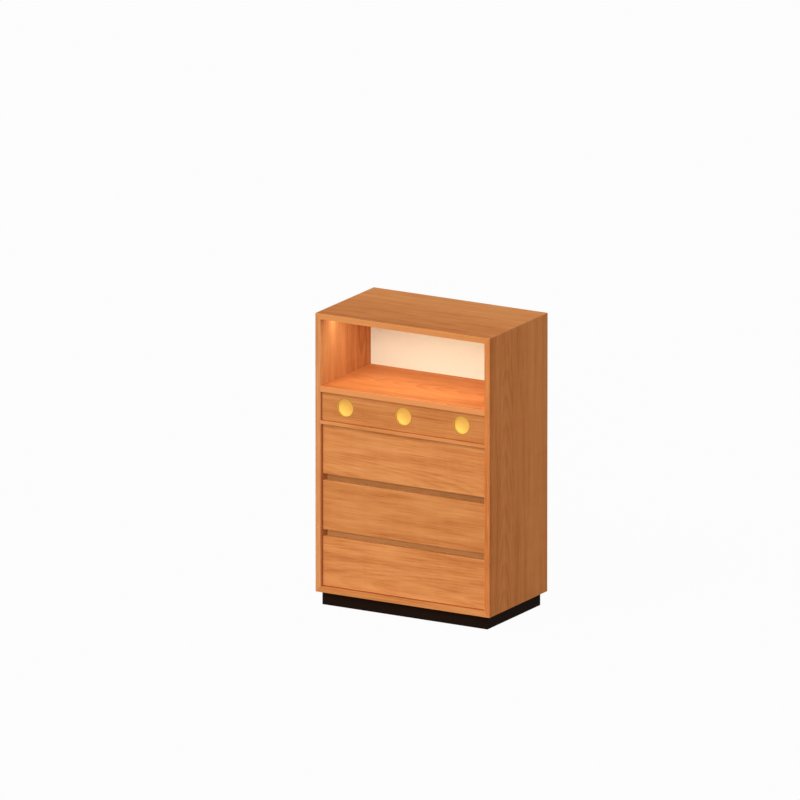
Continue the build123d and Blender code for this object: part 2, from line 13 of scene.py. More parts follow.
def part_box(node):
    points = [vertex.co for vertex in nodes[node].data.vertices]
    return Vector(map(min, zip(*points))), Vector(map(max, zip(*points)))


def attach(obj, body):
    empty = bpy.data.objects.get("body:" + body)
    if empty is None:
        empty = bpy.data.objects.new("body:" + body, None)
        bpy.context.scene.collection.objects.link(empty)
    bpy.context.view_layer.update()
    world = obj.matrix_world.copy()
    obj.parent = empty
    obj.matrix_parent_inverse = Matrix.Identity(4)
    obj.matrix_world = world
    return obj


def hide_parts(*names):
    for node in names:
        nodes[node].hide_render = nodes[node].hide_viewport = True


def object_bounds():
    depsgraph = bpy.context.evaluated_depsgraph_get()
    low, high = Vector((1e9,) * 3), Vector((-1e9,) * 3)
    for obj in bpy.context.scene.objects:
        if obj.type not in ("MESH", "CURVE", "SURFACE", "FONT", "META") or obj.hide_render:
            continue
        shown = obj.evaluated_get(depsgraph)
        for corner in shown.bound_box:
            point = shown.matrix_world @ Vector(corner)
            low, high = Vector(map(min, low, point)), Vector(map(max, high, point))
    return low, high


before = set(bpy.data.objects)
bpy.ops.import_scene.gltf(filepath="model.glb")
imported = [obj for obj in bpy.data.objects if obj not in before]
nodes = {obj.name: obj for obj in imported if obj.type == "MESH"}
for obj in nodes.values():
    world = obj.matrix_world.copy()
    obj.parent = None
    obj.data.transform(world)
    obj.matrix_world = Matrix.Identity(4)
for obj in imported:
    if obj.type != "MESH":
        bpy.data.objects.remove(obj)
cad_low, cad_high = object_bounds()
bpy.ops.object.select_all(action="DESELECT")

SIDES = (-1, 1)
DRAWERS = (1, 2, 3, 4)

# Where the part's source puts the finger cups and the mains inlet
CUP_PITCH = 0.2
CUP_FACE_Y = -0.167
CUP_HEIGHT = 0.6235
INLET_X = 0.21
INLET_Z = 0.806
PIN_OFFSET = 0.0043

# Sockets of shader nodes that are reached by number
OBJECT_COORDINATES = 3
GEOMETRY_NORMAL = 1
DOT_PRODUCT_VALUE = 1
MIX_FACTOR, MIX_FIRST, MIX_SECOND = 0, 6, 7
MIX_COLOUR = 2
CAMERA_RAY, GLOSSY_RAY, TRANSMISSION_RAY = 0, 3, 6


# Shader maths

class Socket:
    """An output of a shader node. Sums on it add Math nodes to the same finish."""

    def __init__(self, finish, socket):
        self.finish = finish
        self.socket = socket

    def math(self, operation, *values):
        return self.finish.node("Math", {"operation": operation}, dict(enumerate(values)))

    def __add__(self, other):
        return self.math("ADD", self, other)

    def __radd__(self, other):
        return self.math("ADD", other, self)

    def __sub__(self, other):
        return self.math("SUBTRACT", self, other)

    def __rsub__(self, other):
        return self.math("SUBTRACT", other, self)

    def __mul__(self, other):
        return self.math("MULTIPLY", self, other)

    def __rmul__(self, other):
        return self.math("MULTIPLY", other, self)

    def __truediv__(self, other):
        return self.math("DIVIDE", self, other)

    def __pow__(self, other):
        return self.math("POWER", self, other)

    def __abs__(self):
        return self.math("ABSOLUTE", self)


def shade(red, green, blue):
    """A colour from display values of 0 to 255."""
    channels = []
    for value in (red, green, blue):
        share = value / 255
        channels.append(share / 12.92 if share <= 0.04045 else ((share + 0.055) / 1.055) ** 2.4)
    return (*channels, 1.0)


WHITE = (1.0, 1.0, 1.0, 1.0)
BLACK = (0.0, 0.0, 0.0, 1.0)


class Finish:
    """One material, or the world, while its shader is made."""

    def __init__(self, name, owner=None):
        self.material = owner or bpy.data.materials.new(name)
        self.material.use_nodes = True
        self.tree = self.material.node_tree
        self.tree.nodes.clear()

    def node(self, kind, settings=None, sockets=None, out=0):
        """Add one node: its settings come first, then the values or links of its sockets."""
        made = self.tree.nodes.new("ShaderNode" + kind)
        for name, value in (settings or {}).items():
            if name == "stops":
                ramp = made.color_ramp.elements
                while len(ramp) < len(value):
                    ramp.new(1.0)
                for element, (place, colour) in zip(ramp, value):
                    element.position = place
                    element.color = colour
            else:
                setattr(made, name, value)
        for key, value in (sockets or {}).items():
            if isinstance(value, Socket):
                self.tree.links.new(value.socket, made.inputs[key])
            else:
                made.inputs[key].default_value = value
        return Socket(self, made.outputs[out]) if made.outputs else None

    def place(self):
        """The point's x, y and z on the piece."""
        point = self.node("TexCoord", out=OBJECT_COORDINATES)
        return [self.node("SeparateXYZ", None, {0: point}, axis) for axis in range(3)]

    def vector(self, x, y, z):
        return self.node("CombineXYZ", None, {0: x, 1: y, 2: z})

    def noise(self, vector, detail, roughness=0.5, distortion=0.0):
        sockets = {
            "Vector": vector,
            "Scale": 1.0,
            "Detail": detail,
            "Roughness": roughness,
            "Distortion": distortion,
        }
        return self.node("TexNoise", None, sockets)

    def even_noise(self, place, waves, detail):
        """Noise with the same number of waves a metre in every direction."""
        return self.noise(self.vector(*[value * waves for value in place]), detail)

    def step(self, value, start, end):
        """0 at start and 1 at end, eased between them."""
        sockets = {"Value": value, "From Min": start, "From Max": end}
        return self.node("MapRange", {"interpolation_type": "SMOOTHSTEP"}, sockets)

    def ramp(self, value, *stops):
        return self.node("ValToRGB", {"stops": stops}, {0: value})

    def mix(self, factor, first, second):
        sockets = {MIX_FACTOR: factor, MIX_FIRST: first, MIX_SECOND: second}
        return self.node("Mix", {"data_type": "RGBA"}, sockets, MIX_COLOUR)

    def bump(self, height, strength, distance):
        sockets = {"Height": height, "Strength": strength, "Distance": distance}
        return self.node("Bump", None, sockets)

    def surface(self, **sockets):
        """The Principled shader; spaces in socket names are written as underscores."""
        named = {name.replace("_", " "): value for name, value in sockets.items()}
        shader = self.node("BsdfPrincipled", None, named)
        self.node("OutputMaterial", None, {0: shader})
        return self.material

    def edges(self, box, place, reach):
        """1 on a box's edges, and 0 from one reach away from them."""
        low, high = box
        faces = []
        for axis, value in enumerate(place):
            middle = (low[axis] + high[axis]) / 2
            half = (high[axis] - low[axis]) / 2
            faces.append(self.step(half - abs(value - middle), reach, 0.0))
        total = faces[0] + faces[1] + faces[2] - 1.0
        return total.math("MAXIMUM", total, 0.0)


# Wood

CHERRY = (shade(178, 102, 50), shade(210, 133, 73), shade(226, 154, 92))
BIRCH = (shade(196, 160, 112), shade(222, 190, 142), shade(236, 211, 168))
PALE_CHERRY = (shade(180, 105, 58), shade(212, 137, 83), shade(228, 159, 104))
LIGHT_CHERRY = (shade(186, 108, 54), shade(219, 140, 79), shade(234, 162, 98))
# Redder, lighter tones for the right side: painted light that makes up for the shade it stands in
SIDE_CHERRY_PAINTED_LIGHT = (shade(193, 108, 53), shade(225, 139, 76), shade(240, 160, 94))
SHELF_CHERRY = (shade(178, 97, 48), shade(210, 125, 69), shade(228, 149, 90))
# Rail tones lighter than the other cherry: painted light for the rails in the shaded finger gaps
RAIL_CHERRY_PAINTED_LIGHT = (shade(220, 153, 90), shade(247, 175, 107), shade(253, 190, 126))
# The colour of worn edges, and of the painted highlight on front edges
CHERRY_EDGE = shade(240, 154, 90)
BIRCH_EDGE = shade(240, 218, 180)

# Waves a metre along and across the grain, for each kind of mark in the wood
RING_WANDER = (1.1, 5.0)
RING_WAVER = (7.0, 30.0)
FIBRE = (38.0, 1500.0)
STREAK = (11.0, 230.0)
FIGURE = (26.0, 7.0)
FLECK = (120.0, 2600.0)

RING_WAVER_DEPTH = 0.0022
# How far in from a board's edges the wear and painted highlight reach
EDGE_WEAR_AND_HIGHLIGHT_REACH = 0.0022
# Where the painted highlight on a board's front edge fades out, measured from its front face
HIGHLIGHT_EDGE_START = 0.0016
HIGHLIGHT_EDGE_END = 0.0008


def wood(name, axes, heart, box=None, tones=CHERRY, edge=CHERRY_EDGE, rings=0.12, wander=0.012,
         tilt=(0.0, 0.0), ring_pitch=0.0042, band=(4.2, 42.0), contrast=0.9, gloss=0.5, lip=0.0,
         painted_light_drift=(0.0, 0.0)):
    """Satin wood whose rings lie round a heart line, so that every face shows its own cut.

    axes are the directions along the grain, across the face and through the board. heart is
    where the log's middle lies, across and through, and tilt how far it leans along the grain.
    band gives the broad figure's waves a metre along and across the grain, and gloss is about
    the middle roughness. lip is the share by which the front edge is lighter, as a painted
    highlight. painted_light_drift paints light and shade across the board: how much lighter it
    gets for each metre across it, and from where. With a box, the box's edges look worn and
    lighter, partly real wear and partly a painted highlight.
    """
    finish = Finish(name)
    place = finish.place()
    along, across, through = (place[axis] for axis in axes)

    def marks(waves, detail, **settings):
        stretched = finish.vector(along * waves[0], across * waves[1], through * waves[1])
        return finish.noise(stretched, detail, **settings)

    slow = marks(RING_WANDER, 1.0)
    fast = marks(RING_WAVER, 2.0)
    lean_across = across - heart[0] - along * tilt[0] + (slow - 0.5) * (2 * wander)
    lean_through = through - heart[1] - along * tilt[1]
    radius = (lean_across ** 2.0 + lean_through ** 2.0) ** 0.5
    count = (radius + (fast - 0.5) * RING_WAVER_DEPTH) / ring_pitch
    share = count.math("FRACT", count)
    late = finish.step(share, 0.15, 0.86) * (1.0 - finish.step(share, 0.9, 1.0))
    year = finish.node("TexWhiteNoise", {"noise_dimensions": "1D"}, {"W": count.math("FLOOR", count)})

    bands = marks(band, 3.0, roughness=0.55)
    wide_place = finish.vector(
        along * band[0] * 0.3, across * band[1] * 0.24, through * band[1] * 0.24
    )
    wide = finish.noise(wide_place, 1.0)
    fibre = marks(FIBRE, 2.0, roughness=0.6)
    streak = marks(STREAK, 1.0)
    figure = marks(FIGURE, 1.0, distortion=0.6)

    tone = (
        0.5
        + (bands - 0.5) * (0.98 * contrast)
        + (wide - 0.5) * (0.42 * contrast)
        + (0.5 - late) * (rings * (0.5 + year))
        + (fibre - 0.5) * 0.38
        + (streak - 0.5) * (0.5 * contrast)
        + (figure - 0.5) * 0.12
        # Painted light and shade: the board made lighter or darker across it
        + (across - painted_light_drift[1]) * painted_light_drift[0]
    )
    # Painted highlight: the front edge's first millimetre or so is made lighter in tone
    if lip:
        front = box[0].y
        painted_edge_highlight = finish.step(place[1], front + HIGHLIGHT_EDGE_START, front + HIGHLIGHT_EDGE_END)
        tone = tone + painted_edge_highlight * (lip * 0.5)
    colour = finish.ramp(tone, (0.14, tones[0]), (0.5, tones[1]), (0.88, tones[2]))

    pores = finish.step(marks(FLECK, 1.0), 0.66, 0.76)
    colour = finish.mix(pores * 0.34, colour, tones[0])

    grain_axis = [1.0 if axis == axes[0] else 0.0 for axis in range(3)]
    facing = finish.node(
        "VectorMath",
        {"operation": "DOT_PRODUCT"},
        {0: finish.node("NewGeometry", out=GEOMETRY_NORMAL), 1: grain_axis},
        DOT_PRODUCT_VALUE,
    )
    sawn_end = finish.step(abs(facing), 0.6, 0.95)
    colour = finish.mix(sawn_end * 0.45, colour, tones[0])

    # The same painted highlight on the front edge, mixed towards the edge colour
    if lip:
        colour = finish.mix(painted_edge_highlight * (lip * 0.5), colour, edge)

    sheen = fibre * 0.16 + pores * 0.1 + gloss - 0.06
    if box is not None:
        # Worn edges, lighter in patches: partly real wear and partly a painted highlight
        worn = finish.even_noise(place, 9.0, 3.0)
        edge_wear_and_highlight = finish.edges(box, place, EDGE_WEAR_AND_HIGHLIGHT_REACH) * finish.step(worn, 0.34, 0.6)
        colour = finish.mix(edge_wear_and_highlight * 0.5, colour, edge)
        sheen = sheen - edge_wear_and_highlight * 0.1

    relief = fibre * 0.55 - pores * 0.9 - late * 0.25
    return finish.surface(
        Base_Color=colour,
        Roughness=sheen,
        Normal=finish.bump(relief, 0.28, 0.00025),
        Specular_IOR_Level=0.025,
    )


def dress(material, *names):
    """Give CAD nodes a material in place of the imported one."""
    for name in names:
        piece = nodes[name]
        for slot in piece.material_slots:
            slot.material = material


# Directions along the grain, across the face and through the board
X_GRAIN_FLAT = (0, 1, 2)
X_GRAIN_UPRIGHT = (0, 2, 1)
Y_GRAIN_UPRIGHT = (1, 2, 0)
Z_GRAIN_SIDE = (2, 1, 0)
Z_GRAIN_REAR = (2, 0, 1)

# Some boards get painted light and shade across them: the top darker towards its front, the shelf and
# right side lighter towards the back, the left side darker towards the back
dress(wood("cherry_top", X_GRAIN_FLAT, (-0.31, 0.78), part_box("top_panel"), tilt=(0.02, 0.05),
           contrast=0.7, lip=0.6, gloss=0.6, painted_light_drift=(0.9, 0.0)), "top_panel")
dress(wood("cherry_bottom", X_GRAIN_FLAT, (0.2, -0.1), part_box("bottom_panel"), tilt=(0.02, 0.03)),
      "bottom_panel")
dress(wood("cherry_left", Z_GRAIN_SIDE, (0.05, -0.42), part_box("left_side_panel"), tilt=(0.03, 0.04),
           band=(3.0, 44.0), tones=PALE_CHERRY, painted_light_drift=(-0.8, -0.08)), "left_side_panel")
# The right side's tones are painted light for its shaded face
dress(wood("cherry_right", Z_GRAIN_SIDE, (-0.09, 0.42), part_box("right_side_panel"), tilt=(0.02, 0.05),
           band=(2.4, 44.0), contrast=0.75, tones=SIDE_CHERRY_PAINTED_LIGHT, painted_light_drift=(0.5, 0.0)), "right_side_panel")
dress(wood("cherry_shelf", X_GRAIN_FLAT, (-0.02, 0.5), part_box("niche_shelf"), tilt=(0.02, 0.06),
           contrast=0.7, lip=0.95, tones=SHELF_CHERRY, painted_light_drift=(0.7, 0.0)), "niche_shelf")
dress(wood("cherry_divider", X_GRAIN_FLAT, (0.3, 0.5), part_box("drawer_divider"), lip=0.25),
      "drawer_divider")
# Painted light: the rails are lighter than the other cherry and the lower rail lighter still, standing in
# for light in the shaded finger gaps
dress(wood("cherry_rails", X_GRAIN_UPRIGHT, (0.0, 0.3), contrast=0.4, painted_light_drift=(-1.6, 0.217),
           tones=RAIL_CHERRY_PAINTED_LIGHT), "finger_rails")
dress(wood("cherry_front_1", X_GRAIN_UPRIGHT, (0.70, -0.02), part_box("drawer_1_front"),
           band=(3.1, 47.0), contrast=0.8), "drawer_1_front")
dress(wood("cherry_front_2", X_GRAIN_UPRIGHT, (0.40, -0.02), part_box("drawer_2_front"),
           tilt=(0.03, 0.05), tones=LIGHT_CHERRY), "drawer_2_front")
dress(wood("cherry_front_3", X_GRAIN_UPRIGHT, (0.46, -0.08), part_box("drawer_3_front"),
           tilt=(-0.02, 0.04)), "drawer_3_front")
dress(wood("cherry_front_4", X_GRAIN_UPRIGHT, (0.095, -0.20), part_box("drawer_4_front"),
           tilt=(0.0, 0.07), wander=0.02, ring_pitch=0.0075, rings=0.09, tones=LIGHT_CHERRY),
      "drawer_4_front")
dress(wood("cherry_rear_veneer", Z_GRAIN_REAR, (0.03, 0.30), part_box("rear_panel"), tilt=(0.02, 0.10),
           contrast=0.8, gloss=0.55), "rear_panel")

for number in DRAWERS:
    drawer = f"drawer_{number}_"
    for part, axes in (("left_side", Y_GRAIN_UPRIGHT), ("right_side", Y_GRAIN_UPRIGHT),
                       ("back", X_GRAIN_UPRIGHT)):
        dress(wood(f"birch_{number}_{part}", axes, (0.2, 0.9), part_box(drawer + part), tones=BIRCH,
                   edge=BIRCH_EDGE, contrast=0.55, rings=0.2, gloss=0.5), drawer + part)
    dress(wood(f"birch_{number}_bottom", X_GRAIN_FLAT, (0.4, -0.6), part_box(drawer + "bottom"),
               tones=BIRCH, edge=BIRCH_EDGE, contrast=0.7, rings=0.16, gloss=0.52),
          drawer + "bottom")

dress(wood("beech_fixings", Y_GRAIN_UPRIGHT, (0.3, 0.3), tones=BIRCH, contrast=0.5),
      "carcass_dowels", "mitre_splines", "plinth_corner_blocks")


# Other finishes

BLACK_PLASTIC = (shade(22, 22, 23), shade(32, 32, 34))
NICKEL = (shade(196, 190, 176), shade(222, 216, 204))
SHEATH = (shade(212, 207, 192), shade(226, 221, 206))


def cream_lacquer():
    finish = Finish("cream_lacquer")
    place = finish.place()
    cloud = finish.even_noise(place, 6.0, 3.0)
    peel = finish.even_noise(place, 900.0, 1.0)
    return finish.surface(
        Base_Color=finish.mix(cloud, shade(251, 250, 229), shade(255, 254, 236)),
        Roughness=cloud * 0.08 + 0.42,
        Normal=finish.bump(peel, 0.12, 0.0001),
        Specular_IOR_Level=0.4,
    )


def plinth_paint():
    finish = Finish("black_paint")
    place = finish.place()
    cloud = finish.even_noise(place, 14.0, 3.0)
    peel = finish.even_noise(place, 700.0, 2.0)
    return finish.surface(
        Base_Color=finish.mix(cloud, shade(24, 14, 8), shade(33, 20, 12)),
        Roughness=cloud * 0.16 + 0.64,
        Normal=finish.bump(peel, 0.2, 0.00015),
        Specular_IOR_Level=0.03,
    )


# How far from each cup's middle the painted shade on the rim starts and ends
RIM_SHADE_START = 0.0255
RIM_SHADE_END = 0.0275
TURNING_MARKS = 1700.0


def brass():
    """Brass with turning marks round the middle of each cup, and a rim darkened as painted shade."""
    finish = Finish("turned_brass")
    x, y, z = finish.place()
    shifted = x + CUP_PITCH * 1.5
    fold = shifted.math("MODULO", shifted, CUP_PITCH) - CUP_PITCH / 2
    cup_z = (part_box("finger_cups")[0].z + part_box("finger_cups")[1].z) / 2
    radius = (fold ** 2.0 + (z - cup_z) ** 2.0) ** 0.5
    turned_marks = finish.noise(finish.vector(radius * TURNING_MARKS, 0.0, 0.0), 3.0, roughness=0.75)
    cloud = finish.even_noise((x, y, z), 60.0, 3.0)
    # Painted shade: the rim and the cup's wall near the mouth are darkened for the shadow ring there
    rim = finish.step(radius, RIM_SHADE_START, RIM_SHADE_END)
    colour = finish.mix(cloud * 0.4 + turned_marks * 0.6, shade(226, 173, 78), shade(248, 199, 104))
    colour = finish.mix(rim * 0.8, colour, shade(176, 122, 58))
    return finish.surface(
        Base_Color=colour,
        Metallic=1.0,
        Roughness=cloud * 0.1 + turned_marks * 0.08 + 0.54,
        Normal=finish.bump(turned_marks, 0.5, 0.00016),
    )


def metal(name, dark, light, roughness, streak):
    """Plated or anodised metal; streak is its marks' waves a metre along x, y and z."""
    finish = Finish(name)
    place = finish.place()
    cloud = finish.even_noise(place, 40.0, 3.0)
    marks = finish.noise(finish.vector(*[value * waves for value, waves in zip(place, streak)]), 2.0)
    return finish.surface(
        Base_Color=finish.mix(cloud * 0.7 + marks * 0.3, dark, light),
        Metallic=1.0,
        Roughness=cloud * 0.12 + marks * 0.1 + (roughness - 0.1),
        Normal=finish.bump(marks, 0.1, 0.00005),
    )


def plastic(name, dark, light, roughness):
    """Moulded plastic with a fine spark-eroded grain."""
    finish = Finish(name)
    place = finish.place()
    grain = finish.even_noise(place, 1400.0, 2.0)
    cloud = finish.even_noise(place, 18.0, 2.0)
    return finish.surface(
        Base_Color=finish.mix(cloud, dark, light),
        Roughness=cloud * 0.1 + roughness,
        Normal=finish.bump(grain, 0.18, 0.0001),
        Specular_IOR_Level=0.4,
    )


# How the plated pins are told from the plastic round them: by radius, and by y at their roots
PIN_OUTSIDE = 0.0014
PIN_INSIDE = 0.0013
PIN_ROOT_START = 0.1613
PIN_ROOT_END = 0.1616


def inlet_finish():
    """Black plastic whose two pins are nickel-plated."""
    finish = Finish("power_inlet")
    x, y, z = finish.place()
    pin = abs(abs(x - INLET_X) - PIN_OFFSET) ** 2.0 + (z - INLET_Z) ** 2.0
    round_pin = finish.step(pin, PIN_OUTSIDE ** 2, PIN_INSIDE ** 2)
    metal_share = round_pin * finish.step(y, PIN_ROOT_START, PIN_ROOT_END)
    grain = finish.even_noise((x, y, z), 1400.0, 2.0)
    cloud = finish.even_noise((x, y, z), 60.0, 2.0)
    black = finish.mix(cloud, *BLACK_PLASTIC)
    nickel = finish.mix(cloud, *NICKEL)
    return finish.surface(
        Base_Color=finish.mix(metal_share, black, nickel),
        Metallic=metal_share,
        Roughness=cloud * 0.1 + 0.44 - metal_share * 0.2,
        Normal=finish.bump(grain, 0.16, 0.0001),
        Specular_IOR_Level=0.4,
    )


# Where the light changes along its strip, in metres from the middle on either side
BRIGHTER = (0.09, 0.17)
DIMMED = (0.18, 0.228)
BRIGHT_TIP = (0.252, 0.268)


def light_diffuser():
    """An opal strip whose light is brighter off the middle, dim near its ends and less so at its tips."""
    finish = Finish("light_diffuser")
    place = finish.place()
    frost = finish.even_noise(place, 800.0, 1.0)
    glow = finish.mix(frost, (0.88, 0.98, 0.75, 1.0), (0.90, 1.0, 0.81, 1.0))
    from_middle = abs(place[0])
    outer = finish.step(from_middle, *BRIGHTER)
    capped = finish.step(from_middle, *DIMMED)
    tip = finish.step(from_middle, *BRIGHT_TIP)
    glow = finish.mix(outer * 0.45 - capped * 0.8 + tip * 0.4 + 0.55, BLACK, glow)
    return finish.surface(
        Base_Color=shade(240, 236, 226),
        Roughness=frost * 0.1 + 0.5,
        Emission_Color=glow,
        Emission_Strength=46.0,
    )


runner_steel = metal("runner_steel", shade(168, 170, 172), shade(206, 208, 210), 0.34,
                     (900.0, 14.0, 900.0))
plated = metal("screw_steel", shade(176, 172, 160), shade(214, 210, 196), 0.3,
               (300.0, 300.0, 300.0))
aluminium = metal("anodised_aluminium", shade(178, 180, 182), shade(204, 206, 208), 0.4,
                  (6.0, 900.0, 900.0))

dress(cream_lacquer(), "niche_back_panel")
dress(plinth_paint(), "plinth_front", "plinth_rear", "plinth_sides")
dress(runner_steel, "cabinet_runner_members")
for number in DRAWERS:
    dress(runner_steel, f"drawer_{number}_runner_members", f"drawer_{number}_middle_members")
dress(plated, "finger_cup_nuts")
dress(aluminium, "light_channel")
dress(plastic("light_strip", shade(232, 230, 220), shade(244, 242, 232), 0.4), "light_board")
dress(light_diffuser(), "light_diffuser")
dress(plastic("black_plastic", *BLACK_PLASTIC, 0.46), "light_driver")
dress(plastic("cable_sheath", *SHEATH, 0.46), "light_cable")
dress(inlet_finish(), "power_inlet")
dress(plastic("glide_nylon", shade(36, 36, 38), shade(48, 48, 50), 0.5), "levelling_glides")


# Screws and cups

SCREW_SIDES = 28
SCREW_BEVEL = 0.00009
SCREW_POINT = 0.12
RECESS_REACH = 1.16
RECESS_WIDTH = 0.26
RECESS_TAPER = 0.55
TURNED_SIDES = 96
COPY_TURN = 67.0


def start_piece(name, add, **sizes):
    """Begin a piece from one of Blender's primitives."""
    bpy.ops.object.select_all(action="DESELECT")
    add(**sizes)
    piece = bpy.context.object
    piece.name = name
    return piece


def edit_faces(piece, wanted):
    """Open a piece for editing with just the faces selected that pass the test."""
    mesh = piece.data
    bpy.context.tool_settings.mesh_select_mode = (False, False, True)
    mesh.vertices.foreach_set("select", [False] * len(mesh.vertices))
    mesh.edges.foreach_set("select", [False] * len(mesh.edges))
    mesh.polygons.foreach_set("select", [wanted(face) for face in mesh.polygons])
    bpy.ops.object.mode_set(mode="EDIT")


def draw_out(distance, scale=1.0):
    """Extrude the selected faces along Z and then scale them about their middle."""
    bpy.ops.mesh.extrude_region_move(TRANSFORM_OT_translate={"value": (0.0, 0.0, distance)})
    bpy.ops.transform.resize(value=(scale, scale, 1.0))


def apply_modifier(piece, kind, **settings):
    bpy.context.view_layer.objects.active = piece
    modifier = piece.modifiers.new(kind.lower(), kind)
    for name, value in settings.items():
        setattr(modifier, name, value)
    bpy.ops.object.modifier_apply(modifier=modifier.name)


def screw_blank(name, radius, depth, middle):
    """The round disc that a screw is drawn out from."""
    screw = start_piece(
        name, bpy.ops.mesh.primitive_cylinder_add,
        vertices=SCREW_SIDES, radius=radius, depth=depth, location=(0.0, 0.0, middle),
    )
    bpy.ops.object.transform_apply()
    return screw


def cross_recess(head, top, radius, depth):
    """Cut a cross for the driver's tip into the top of a screw's head."""
    for turn in (0.0, radians(90.0)):
        blade = start_piece("blade", bpy.ops.mesh.primitive_cube_add, size=1.0)
        blade.scale = (radius * RECESS_REACH, radius * RECESS_WIDTH, depth * 2)
        blade.location = (0.0, 0.0, top)
        blade.rotation_euler = (0.0, 0.0, turn)
        bpy.ops.object.transform_apply()
        edit_faces(blade, lambda face: face.normal.z < -0.9)
        bpy.ops.transform.resize(value=(RECESS_TAPER, RECESS_TAPER, 1.0))
        bpy.ops.object.mode_set(mode="OBJECT")
        apply_modifier(head, "BOOLEAN", object=blade, operation="DIFFERENCE", solver="EXACT")
        bpy.data.objects.remove(blade)


def finish_screw(screw):
    """Break a screw's edges and smooth its round faces."""
    apply_modifier(screw, "BEVEL", width=SCREW_BEVEL, segments=2, limit_method="ANGLE",
                   angle_limit=radians(35.0))
    bpy.ops.object.select_all(action="DESELECT")
    screw.select_set(True)
    bpy.ops.object.shade_smooth_by_angle(angle=radians(40.0))
    return screw


def pan_screw(radius, height, shank, length):
    """A pan-head screw along Z with its head's underside at zero."""
    rim = height * 0.62
    screw = screw_blank("pan_screw", radius, rim, rim / 2)
    edit_faces(screw, lambda face: face.normal.z > 0.9)
    draw_out(height * 0.26, 0.9)
    draw_out(height * 0.12, 0.74)
    bpy.ops.object.mode_set(mode="OBJECT")
    cross_recess(screw, height, radius, rim)
    edit_faces(screw, lambda face: face.normal.z < -0.9 and face.center.z < height * 0.05)
    bpy.ops.mesh.inset(thickness=radius - shank)
    draw_out(shank - length)
    draw_out(-shank, SCREW_POINT)
    bpy.ops.object.mode_set(mode="OBJECT")
    return finish_screw(screw)


def flat_screw(radius, shank, length):
    """A countersunk screw along Z with its head's face at zero."""
    lip = 0.00012
    recess_depth = 0.0009
    screw = screw_blank("flat_screw", radius - lip, lip, -lip / 2)
    edit_faces(screw, lambda face: face.normal.z < -0.9)
    draw_out(shank - radius, shank / radius)
    draw_out(radius - length)
    draw_out(-shank, SCREW_POINT)
    bpy.ops.object.mode_set(mode="OBJECT")
    cross_recess(screw, 0.0, radius, recess_depth)
    return finish_screw(screw)


def turned(name, outline):
    """Turn a closed piece about Z from the radius and height of each point of its outline."""
    piece = start_piece(name, bpy.ops.mesh.primitive_plane_add, size=0.001)
    bpy.context.tool_settings.mesh_select_mode = (True, False, False)
    bpy.ops.object.mode_set(mode="EDIT")
    bpy.ops.mesh.select_all(action="SELECT")
    bpy.ops.mesh.merge(type="CENTER")
    bpy.ops.transform.translate(value=(outline[0][0], 0.0, outline[0][1]))
    for start, end in zip(outline, outline[1:]):
        step = (end[0] - start[0], 0.0, end[1] - start[1])
        bpy.ops.mesh.extrude_vertices_move(TRANSFORM_OT_translate={"value": step})
    bpy.ops.mesh.select_all(action="SELECT")
    bpy.ops.mesh.spin(steps=TURNED_SIDES, angle=radians(360.0), center=(0.0, 0.0, 0.0),
                      axis=(0.0, 0.0, 1.0))
    bpy.ops.mesh.select_all(action="SELECT")
    bpy.ops.mesh.remove_doubles(threshold=0.000001)
    bpy.ops.mesh.normals_make_consistent(inside=False)
    bpy.ops.object.mode_set(mode="OBJECT")
    bpy.ops.object.shade_smooth_by_angle(angle=radians(32.0))
    return piece


def arc(centre, radius, start, end, steps):
    """Points of an outline's rounding, with its angles in degrees from the radius's direction."""
    points = []
    for index in range(steps + 1):
        angle = radians(start + (end - start) * index / steps)
        points.append((centre[0] + radius * cos(angle), centre[1] + radius * sin(angle)))
    return points


def finger_cup():
    """A turned brass cup along Z whose drawer front's face lies at zero."""
    mouth, cavity, outer, flange = 0.026, 0.0272, 0.0282, 0.0298
    proud, let_in, lip = 0.0004, 0.0008, 0.0016
    edge_depth, depth, base = 0.0045, 0.010, 0.0112
    stud, stud_end, chamfer = 0.002, 0.0234, 0.0004
    roll, base_round = 0.00019, 0.001
    rise = depth - edge_depth
    curve = (cavity ** 2 + rise ** 2) / (2 * rise)
    sweep = degrees(asin(cavity / curve))
    dish = arc((0.0, curve - depth), curve, sweep - 90.0, -90.0, 14)
    outline = [(0.0, -stud_end), (stud - chamfer, -stud_end), (stud, chamfer - stud_end), (stud, -base)]
    outline += arc((outer - base_round, base_round - base), base_round, -90.0, 0.0, 4)
    outline += [(outer, -let_in), (flange, -let_in)]
    outline += arc((flange - roll, proud - roll), roll, 0.0, 90.0, 4)
    outline += arc((mouth + roll, proud - roll), roll, 90.0, 180.0, 4)
    outline += [(mouth, -lip + roll)]
    outline += arc((mouth + roll, roll - lip), roll, 180.0, 270.0, 3)[1:]
    outline += [(cavity, -lip)]
    return turned("finger_cup", outline + dish)


def set_copies(node, body, model, places, material):
    """Copy one piece to every place, and let the copies stand for the node.

    A place is a point and the direction in which the piece's Z looks there.
    """
    copies = []
    for number, (point, outward) in enumerate(places):
        copy = model.copy()
        copy.data = model.data.copy()
        bpy.context.scene.collection.objects.link(copy)
        driven = Quaternion((0.0, 0.0, 1.0), radians(COPY_TURN * number))
        copy.rotation_mode = "QUATERNION"
        copy.rotation_quaternion = Vector(outward).to_track_quat("Z", "Y") @ driven
        copy.location = point
        copies.append(copy)
    bpy.ops.object.select_all(action="DESELECT")
    for copy in copies:
        copy.select_set(True)
    bpy.context.view_layer.objects.active = copies[0]
    bpy.ops.object.transform_apply()
    bpy.ops.object.join()
    piece = bpy.context.object
    piece.name = "fitted_" + node
    piece.data.materials.clear()
    piece.data.materials.append(material)
    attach(piece, body)
    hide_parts(node)


